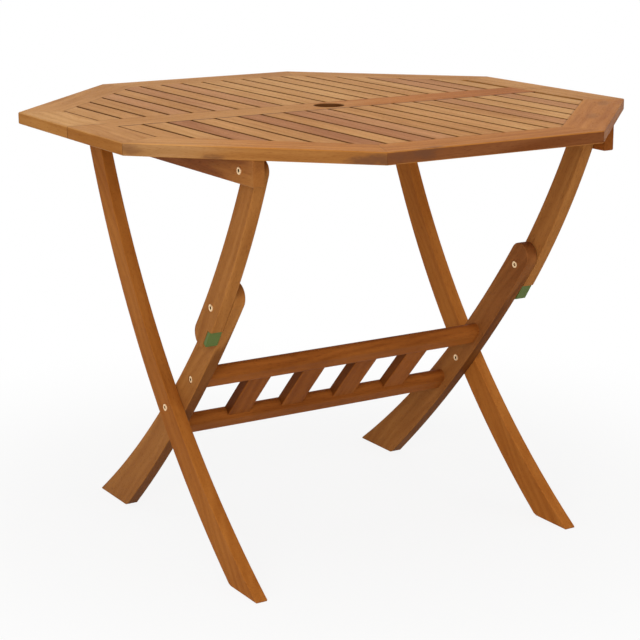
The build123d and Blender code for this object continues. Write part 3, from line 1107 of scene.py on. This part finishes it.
class GARDENTABLE_OT_batten_screws(Operator):
    """Set countersunk screws in the undersides of the battens"""

    bl_idname = "gardentable.batten_screws"
    bl_label = "Batten Screws"

    def execute(self, context):
        hardware = context.scene.garden_table_hardware
        zinc = metal("screw_zinc", hardware.zinc[:], hardware.tarnish[:], polish=0.34)
        rim, inset = hardware.screw_head / 2, hardware.screw_inset
        slot_reach, slot_depth = 0.0013, 0.0012
        crown, round_over = 0.0004, 0.0003
        rings = (
            (slot_reach, -slot_depth, 4),
            (slot_reach, 0.0, 4),
            (rim - round_over, crown, 0),
            (rim, crown - round_over, 0),
            (rim, -crown, 0),
        )
        mesh = bmesh.new()
        downward = Matrix.Rotation(math.pi, 4, "X")
        for side in ("left", "right"):
            low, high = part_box(f"batten_{side}")
            for y in (low.y + inset, 0.0, high.y - inset):
                place = Matrix.Translation(((low.x + high.x) / 2, y, low.z)) @ downward
                stack_rings(mesh, rings, place)
        piece = mesh_piece("batten_screws", mesh, [zinc])
        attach(piece, "tabletop")
        return {"FINISHED"}


def studio_world(stage):
    """Even light from all sides, shown as plain white."""
    world = bpy.data.worlds.new("studio")
    tree = empty_tree(world)
    shown = tree.seen()
    sky = tree.put("ShaderNodeBackground", WHITE, stage.sky_strength)
    white = tree.put("ShaderNodeBackground", WHITE, 1.0)
    both = tree.put("ShaderNodeMixShader", shown, sky.outputs[0], white.outputs[0])
    tree.put("ShaderNodeOutputWorld", both.outputs[0])
    return world


def floor_finish(stage):
    """Pale floor that shows white far off and keeps the table's shadow under it."""
    shadow_edge, white_edge, white_near = 0.5, 1.3, 0.88
    material = bpy.data.materials.new("pale_floor")
    tree = empty_tree(material)
    matt = tree.put("ShaderNodeBsdfDiffuse", stage.floor_colour[:])
    glow = tree.put("ShaderNodeEmission", WHITE, 1.0)
    away = tree.measure("LENGTH", tree.put("ShaderNodeTexCoord").outputs["Object"])
    fade = tree.spread(away, shadow_edge, white_edge, white_near, 1.0)
    share = tree.math("MULTIPLY", tree.seen(), fade)
    both = tree.put("ShaderNodeMixShader", share, matt.outputs[0], glow.outputs[0])
    tree.put("ShaderNodeOutputMaterial", both.outputs[0])
    return material


def studio_lamp(name, place, target, size, power):
    """Large soft lamp that faces a point."""
    data = bpy.data.lights.new(name, "AREA")
    data.shape = "DISK"
    data.size = size
    data.energy = power
    lamp = bpy.data.objects.new(name, data)
    lamp.location = place
    lamp.rotation_euler = (Vector(target) - Vector(place)).to_track_quat("-Z", "Y").to_euler()
    bpy.context.scene.collection.objects.link(lamp)


def photo_camera(stage):
    """Camera at the photograph's viewing angle."""
    azimuth, elevation = stage.camera_azimuth, stage.camera_elevation
    level = math.cos(elevation)
    back = Vector((math.sin(azimuth) * level, -math.cos(azimuth) * level, math.sin(elevation)))
    data = bpy.data.cameras.new("photo_camera")
    data.sensor_width = 36.0
    data.lens = stage.lens
    data.clip_end = 100.0
    camera = bpy.data.objects.new("photo_camera", data)
    turn = (-back).to_track_quat("-Z", "Y").to_matrix().to_4x4()
    roll = Matrix.Rotation(stage.camera_roll, 4, "Z")
    camera.matrix_world = Matrix.Translation(stage.camera_place) @ turn @ roll
    bpy.context.scene.collection.objects.link(camera)
    return camera


class GARDENTABLE_OT_stage(Operator):
    """Lay the pale floor, hang the lamps and set the camera"""

    bl_idname = "gardentable.stage"
    bl_label = "Stage"

    def execute(self, context):
        scene = context.scene
        stage = scene.garden_table_stage
        scene.view_settings.view_transform = "Standard"
        scene.world = studio_world(stage)

        floor_radius, floor_drop = 9.0, 0.0005
        mesh = bmesh.new()
        bmesh.ops.create_circle(mesh, cap_ends=True, segments=64, radius=floor_radius)
        floor = mesh_piece("studio_floor", mesh, [floor_finish(stage)])
        floor.location.z = -floor_drop

        knees, top = (0, 0, 0.4), (0, 0, 0.7)
        studio_lamp("key_lamp", place=(-3.0, -2.9, 1.7), target=knees, size=2.4, power=stage.key_power)
        studio_lamp("top_lamp", place=(-0.4, -0.6, 3.6), target=top, size=2.6, power=stage.top_power)
        studio_lamp("fill_lamp", place=(1.8, -3.2, 1.4), target=knees, size=2.0, power=stage.fill_power)
        scene.camera = photo_camera(stage)
        return {"FINISHED"}


STEPS = (
    GARDENTABLE_OT_frame_boards,
    GARDENTABLE_OT_centre_rail,
    GARDENTABLE_OT_slats,
    GARDENTABLE_OT_legs,
    GARDENTABLE_OT_lattice,
    GARDENTABLE_OT_knee_stops,
    GARDENTABLE_OT_bolts,
    GARDENTABLE_OT_batten_screws,
    GARDENTABLE_OT_stage,
)


class GARDENTABLE_PT_sidebar(Panel):
    """Steps that dress the table"""

    bl_idname = "GARDENTABLE_PT_sidebar"
    bl_label = "Garden Table"
    bl_space_type = "VIEW_3D"
    bl_region_type = "UI"
    bl_category = "Garden Table"

    def draw(self, context):
        for step in STEPS:
            self.layout.operator(step.bl_idname)


SETTINGS = (
    ("garden_table_wood", GardenTableWood),
    ("garden_table_hardware", GardenTableHardware),
    ("garden_table_stage", GardenTableStage),
)


def register():
    """Register the settings, the steps and the sidebar."""
    for name, settings in SETTINGS:
        bpy.utils.register_class(settings)
        setattr(bpy.types.Scene, name, PointerProperty(type=settings))
    for step in STEPS:
        bpy.utils.register_class(step)
    bpy.utils.register_class(GARDENTABLE_PT_sidebar)


def unregister():
    """Take everything out again."""
    bpy.utils.unregister_class(GARDENTABLE_PT_sidebar)
    for step in reversed(STEPS):
        bpy.utils.unregister_class(step)
    for name, settings in reversed(SETTINGS):
        delattr(bpy.types.Scene, name)
        bpy.utils.unregister_class(settings)


def main():
    """Dress the table."""
    register()
    bpy.ops.gardentable.frame_boards()
    bpy.ops.gardentable.centre_rail()
    bpy.ops.gardentable.slats()
    bpy.ops.gardentable.legs()
    bpy.ops.gardentable.lattice()
    bpy.ops.gardentable.knee_stops()
    bpy.ops.gardentable.bolts()
    bpy.ops.gardentable.batten_screws()
    bpy.ops.gardentable.stage()
    bpy.context.view_layer.update()


if __name__ == "__main__":
    main()
